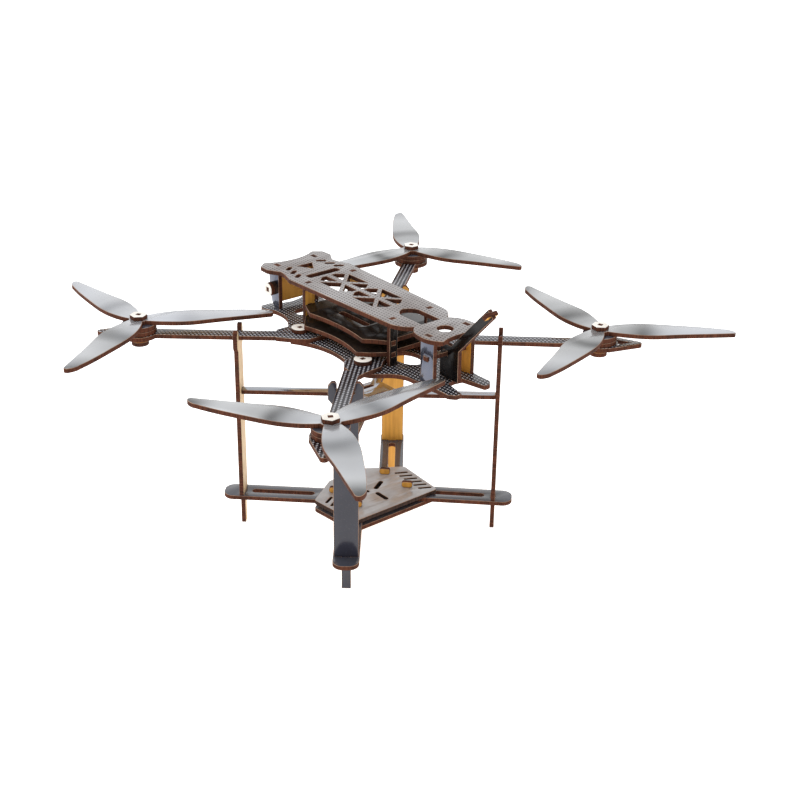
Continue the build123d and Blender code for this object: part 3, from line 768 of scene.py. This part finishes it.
# A film has its two tones, how metallic it is, its roughness and its clear coat
darkWeave = {"ground": (0.010, 0.010, 0.016), "dash": (0.50, 0.50, 0.54), "metal": 0.0, "relief": 0.35}
lightWeave = {"ground": (0.36, 0.35, 0.355), "dash": (0.026, 0.016, 0.012), "metal": 0.7, "relief": 0.3}
smoothFilms = {
    "graphiteFilm": {
        "low": (0.040, 0.042, 0.056), "high": (0.062, 0.064, 0.082),
        "metal": 0.0, "gloss": 0.16, "cloudScale": 22, "coat": 0.6, "shine": 0.5,
    },
    "legFilm": {
        "low": (0.020, 0.020, 0.030), "high": (0.034, 0.034, 0.048),
        "metal": 0.0, "gloss": 0.18, "cloudScale": 22, "coat": 0.1, "shine": 0.5,
    },
    "blackFilm": {
        "low": (0.004, 0.003, 0.003), "high": (0.011, 0.008, 0.008),
        "metal": 0.0, "gloss": 0.2, "cloudScale": 26, "coat": 0.0, "shine": 0.28,
    },
    "mirrorFilm": {
        "low": (0.33, 0.35, 0.39), "high": (0.42, 0.44, 0.49),
        "metal": 0.9, "gloss": 0.10, "cloudScale": 20, "coat": 0.3, "shine": 0.5,
    },
    "cageFilm": {
        "low": (0.060, 0.066, 0.095), "high": (0.13, 0.14, 0.18),
        "metal": 0.8, "gloss": 0.12, "cloudScale": 20, "coat": 0.2, "shine": 0.5,
    },
    "paleFilm": {
        "low": (0.70, 0.66, 0.60), "high": (0.84, 0.81, 0.76),
        "metal": 0.0, "gloss": 0.45, "cloudScale": 90, "coat": 0.1, "shine": 0.5,
    },
    "filmLip": {
        "low": (0.16, 0.08, 0.05), "high": (0.34, 0.21, 0.13),
        "metal": 0.0, "gloss": 0.5, "cloudScale": 160, "coat": 0.0, "shine": 0.5,
    },
}
# Bare ply: the pale tone is the ply's own; the amber tone is the same ply darkened and saturated as painted
# shade for upright backs and pegs in shade; the flat tone goes under lying sheets
woodTones = {
    "shadedAmberWood": {"light": (0.66, 0.33, 0.05), "dark": (0.50, 0.23, 0.03), "grainWay": (0, 0, 1)},
    "paleWood": {"light": (0.72, 0.55, 0.34), "dark": (0.58, 0.41, 0.22), "grainWay": (0, 0, 1)},
    "flatWood": {"light": (0.50, 0.30, 0.12), "dark": (0.34, 0.19, 0.07), "grainWay": (0, 1, 0)},
}
edgeTones = {
    "edgeUp": {"light": (0.125, 0.042, 0.022), "dark": (0.042, 0.014, 0.008), "through": (0, 0, 1)},
    "edgeSide": {"light": (0.11, 0.038, 0.021), "dark": (0.038, 0.013, 0.008), "through": (1, 1, 0)},
    "edgeBlack": {"light": (0.06, 0.034, 0.026), "dark": (0.018, 0.011, 0.009), "through": (0, 0, 1)},
}
lengthwise = radians(90)
deckFilm = wovenFilm("deckFilm", lengthwise, gloss=0.25, **darkWeave)
roofFilm = wovenFilm("roofFilm", lengthwise, gloss=0.26, **lightWeave)
silverPlateFilm = brushedSilverFilm("silverPlateFilm", turn=radians(20))
films = {name: smoothFilm(name, **finish) for name, finish in smoothFilms.items()}
woods = {name: bareWood(name, **finish) for name, finish in woodTones.items()}
edges = {name: charredEdge(name, **finish) for name, finish in edgeTones.items()}
print("stage: films, woods and edges made")

# Every sheet piece, cut again from its frame node with a lip of film round each edge

lip = {"width": 0.22 * mm, "steps": 1, "softAngle": radians(40)}
weld = {"node": 2e-6, "sheet": 1e-6}  # corners nearer than this are one
facingBy = {"near": 0.5, "cap": 0.99, "broad": 0.97, "tilted": 0.1}  # how squarely a face looks along a way


def sheetWay(node, roughWay):
    # The way the broad face of a node looks, on the side nearest roughWay
    faces = [p for p in frame["nodes"][node].data.polygons if p.normal.dot(roughWay) > facingBy["near"]]
    return max(faces, key=lambda p: p.area).normal.copy()


def islandsOf(mesh):
    # The separate solids of a node
    seen = set()
    for start in mesh.verts:
        if start in seen:
            continue
        island = []
        waiting = [start]
        seen.add(start)
        while waiting:
            vert = waiting.pop()
            island.append(vert)
            for edge in vert.link_edges:
                other = edge.other_vert(vert)
                if other not in seen:
                    seen.add(other)
                    waiting.append(other)
        yield island


def rimLoops(capFaces):
    # The closed outlines round a flat face and its holes
    inside = set(capFaces)
    rim = {e for f in capFaces for e in f.edges if sum(g in inside for g in e.link_faces) == 1}
    while rim:
        edge = rim.pop()
        first, vert = edge.verts
        loop = [first]
        while vert != first:
            loop.append(vert)
            edge = next(e for e in vert.link_edges if e in rim)
            rim.remove(edge)
            vert = edge.other_vert(vert)
        yield loop


def cutSheet(node, faceWay, skins):
    # skins are (film, back, edge, lip) for the face that looks along faceWay, and the rest
    up = Vector(faceWay).normalized()
    side = Vector((0, 0, 1)).cross(up)
    side = side.normalized() if side.length > 0.01 else Vector((1, 0, 0))
    turn = Matrix((side, up.cross(side), up)).transposed()
    source = bmesh.new()
    source.from_mesh(frame["nodes"][node].data)
    bmesh.ops.remove_doubles(source, verts=source.verts, dist=weld["node"])
    source.faces.ensure_lookup_table()
    joined = bmesh.new()
    for island in islandsOf(source):
        heights = [v.co.dot(up) for v in island]
        top, bottom = max(heights), min(heights)
        caps = {f for v in island for f in v.link_faces if f.normal.dot(up) > facingBy["cap"]}
        outline = bpy.data.curves.new("outline", "CURVE")
        outline.dimensions = "2D"
        outline.fill_mode = "BOTH"
        outline.extrude = (top - bottom) / 2 - lip["width"]
        outline.bevel_depth = lip["width"]
        outline.bevel_resolution = lip["steps"]
        outline.offset = -lip["width"]
        for loop in rimLoops(caps):
            spline = outline.splines.new("POLY")
            spline.points.add(len(loop) - 1)
            for point, vert in zip(spline.points, loop):
                flat = turn.inverted() @ vert.co
                point.co = (flat.x, flat.y, 0, 1)
            spline.use_cyclic_u = True
        holder = bpy.data.objects.new("outline", outline)
        bpy.context.scene.collection.objects.link(holder)
        bpy.context.view_layer.update()
        solid = bpy.data.meshes.new_from_object(holder)
        solid.transform(turn.to_4x4() @ Matrix.Translation((0, 0, (top + bottom) / 2)))
        joined.from_mesh(solid)
        bpy.data.objects.remove(holder)
        bpy.data.meshes.remove(solid)
    source.free()
    bmesh.ops.remove_doubles(joined, verts=joined.verts, dist=weld["sheet"])
    bmesh.ops.recalc_face_normals(joined, faces=joined.faces)
    broad, tilted = facingBy["broad"], facingBy["tilted"]
    for face in joined.faces:
        lean = face.normal.dot(up)
        face.material_index = 0 if lean > broad else 1 if lean < -broad else 3 if lean > tilted else 2
        face.smooth = abs(lean) < broad
    finished = bpy.data.meshes.new(node + "_sheet")
    joined.to_mesh(finished)
    joined.free()
    finished.set_sharp_from_angle(angle=lip["softAngle"])
    for skin in skins:
        finished.materials.append(skin)
    piece = bpy.data.objects.new(node + "_sheet", finished)
    bpy.context.scene.collection.objects.link(piece)
    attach(piece, bodyOf[node])
    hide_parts(node)
    return piece


def flatSkins(film):
    # A lying sheet: film above, bare ply below
    return film, woods["flatWood"], edges["edgeUp"], films["filmLip"]


def uprightSkins(film, back="shadedAmberWood"):
    # A standing sheet: film on its outer face, bare ply behind, by default in the amber painted-shade tone
    return film, woods[back], edges["edgeSide"], films["filmLip"]


def paleSkins(back):
    # Nuts and washers: pale faces with no dark lip
    return films["paleFilm"], back, edges["edgeUp"], films["paleFilm"]


upward = (0, 0, 1)
allEdge = (edges["edgeUp"],) * 4
graphite = films["graphiteFilm"]
black = films["blackFilm"]
mirror = films["mirrorFilm"]
cage = films["cageFilm"]

for corner in cornerNames:
    hub = hubOf(corner)
    leg = middleOf("stand_leg_" + corner)
    armHeading = atan2(hub.y - leg.y, hub.x - leg.x)
    armFilm = wovenFilm("armFilm_" + corner, armHeading, gloss=0.22, **darkWeave)
    bladeFilm = propellerFilm("bladeFilm_" + corner, hub, shift=len(corner))
    for stem, film in (
        ("arm_", armFilm),
        ("propeller_", bladeFilm),
        ("motor_stator_", graphite),
        ("motor_bell_", graphite),
        ("stand_arm_", graphite),
    ):
        cutSheet(stem + corner, upward, flatSkins(film))
    cutSheet("prop_nut_" + corner, upward, paleSkins(woods["flatWood"]))
    keeperSkins = (woods["flatWood"], graphite, edges["edgeUp"], films["filmLip"])
    cutSheet("motor_keeper_" + corner, upward, keeperSkins)
    cutSheet("motor_axle_" + corner, upward, allEdge)
    legWay = sheetWay("stand_leg_" + corner, legOutward(corner))
    # painted shade: every leg but the front-left gets the amber shaded copy of its bare ply back; the
    # front-left keeps the pale tone
    legBack = "paleWood" if corner == "front_left" else "shadedAmberWood"
    cutSheet("stand_leg_" + corner, legWay, uprightSkins(films["legFilm"], legBack))
print("stage: arms, motors, propellers and legs cut")

for node, film in (
    ("stand_lower_plate", graphite),
    ("stand_brace", mirror),
    ("deck_plate", deckFilm),
    ("roof_plate", roofFilm),
    ("control_board", black),
    ("power_board", black),
    ("tail_crossbar", mirror),
):
    cutSheet(node, upward, flatSkins(film))
topPlateSkins = (silverPlateFilm, woods["flatWood"], edges["edgeBlack"], films["filmLip"])
cutSheet("stand_top_plate", upward, topPlateSkins)
cutSheet("arm_washers", upward, paleSkins(woods["flatWood"]))
cutSheet("arm_pegs", upward, allEdge)
pegWay = sheetWay("stand_pegs", Vector((1, 1, 0)))
# the pegs' facing side gets the amber painted-shade tone of bare ply
pegSkins = (woods["shadedAmberWood"], graphite, edges["edgeSide"], films["filmLip"])
cutSheet("stand_pegs", pegWay, pegSkins)

noseward, tailward, leftward, rightward = (0, -1, 0), (0, 1, 0), (1, 0, 0), (-1, 0, 0)
spacerSkins = (black, black, edges["edgeBlack"], edges["edgeBlack"])
cutSheet("camera_panel", noseward, uprightSkins(black))
cutSheet("camera_spacers", leftward, spacerSkins)
cutSheet("camera_washers", leftward, paleSkins(films["paleFilm"]))
cutSheet("antenna_fin", leftward, uprightSkins(black))
for sideName, outward in (("left", leftward), ("right", rightward)):
    cutSheet("nose_side_plate_" + sideName, outward, uprightSkins(cage))
    cutSheet("tail_side_plate_" + sideName, outward, uprightSkins(cage))
    cutSheet("nose_post_" + sideName, noseward, uprightSkins(cage))
    cutSheet("tail_post_" + sideName, tailward, uprightSkins(black))
antennaLean = radians(47)
crossWay = (0, -sin(antennaLean), cos(antennaLean))
cutSheet("antenna_cross", crossWay, uprightSkins(graphite))
print("stage: plates, boards, posts and antenna cut")

# Floor, light and camera

floorSize = {"reach": 6.0, "glow": 0.75}  # half width in metres, and light of its own
floorMat = bpy.data.materials.new("paleFloor")
floorMat.use_nodes = True
floorNodes = floorMat.node_tree.nodes
floorLinks = floorMat.node_tree.links
floorNodes.clear()
floorOut = floorNodes.new("ShaderNodeOutputMaterial")
floorOut.label = "floor surface"
floorOut.location = (600, 0)
floorPaint = floorNodes.new("ShaderNodeBsdfPrincipled")
floorPaint.label = "matt white board"
floorPaint.location = (300, 0)
floorGrain = floorNodes.new("ShaderNodeTexNoise")
floorGrain.label = "faint paper grain"
floorGrain.location = (-200, 0)
floorTone = floorNodes.new("ShaderNodeValToRGB")
floorTone.label = "whites"
floorTone.location = (0, 0)
floorGrain.inputs["Scale"].default_value = 300
floorTone.color_ramp.elements[0].color = (0.90, 0.90, 0.90, 1)
floorTone.color_ramp.elements[1].color = (0.94, 0.94, 0.94, 1)
floorPaint.inputs["Roughness"].default_value = 0.9
floorPaint.inputs["Emission Color"].default_value = (1, 1, 1, 1)
floorPaint.inputs["Emission Strength"].default_value = floorSize["glow"]
floorLinks.new(floorGrain.outputs["Fac"], floorTone.inputs["Fac"])
floorLinks.new(floorTone.outputs["Color"], floorPaint.inputs["Base Color"])
floorLinks.new(floorPaint.outputs["BSDF"], floorOut.inputs["Surface"])
floorMesh = bpy.data.meshes.new("floor")
reach = floorSize["reach"]
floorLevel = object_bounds()[0][2]
floorCorners = [(x * reach, y * reach, floorLevel) for x, y in ((-1, -1), (1, -1), (1, 1), (-1, 1))]
floorMesh.from_pydata(floorCorners, [], [(0, 1, 2, 3)])
floorBoard = bpy.data.objects.new("floor", floorMesh)
floorMesh.materials.append(floorMat)
bpy.context.scene.collection.objects.link(floorBoard)

world = bpy.data.worlds.new("softRoom")
bpy.context.scene.world = world
world.use_nodes = True
roomLight = world.node_tree.nodes["Background"]
roomLight.inputs["Color"].default_value = (1, 1, 1, 1)
roomLight.inputs["Strength"].default_value = 1.0

softBoxes = {
    "overhead": {"at": (0.2, -0.5, 1.6), "size": 1.6, "power": 9},
    "behindLeft": {"at": (1.2, -1.4, 0.9), "size": 1.0, "power": 5},
}
for boxName, box in softBoxes.items():
    panel = bpy.data.lights.new(boxName, "AREA")
    panel.size = box["size"]
    panel.energy = box["power"]
    lamp = bpy.data.objects.new(boxName, panel)
    lamp.location = box["at"]
    lamp.rotation_euler = Vector(box["at"]).to_track_quat("Z", "Y").to_euler()
    bpy.context.scene.collection.objects.link(lamp)

view = {
    "eye": Vector((540.3, 676.4, 484.7)) * mm,
    "heading": radians(230.10),
    "down": radians(25.14),
    "roll": radians(0.89),
    "lens": 63.11,
}
forward = Vector((
    cos(view["heading"]) * cos(view["down"]),
    sin(view["heading"]) * cos(view["down"]),
    -sin(view["down"]),
))
right = Vector((sin(view["heading"]), -cos(view["heading"]), 0))
above = right.cross(forward)
tiltedRight = right * cos(view["roll"]) + above * sin(view["roll"])
tiltedAbove = above * cos(view["roll"]) - right * sin(view["roll"])
cameraData = bpy.data.cameras.new("camera")
cameraData.sensor_width = 36
cameraData.lens = view["lens"]
cameraData.clip_end = 50
camera = bpy.data.objects.new("camera", cameraData)
facing = Matrix((tiltedRight, tiltedAbove, -forward)).transposed().to_4x4()
camera.matrix_world = Matrix.Translation(view["eye"]) @ facing
bpy.context.scene.collection.objects.link(camera)
bpy.context.scene.camera = camera
bpy.context.scene.view_settings.view_transform = "Standard"
print("stage: floor, light and camera set")
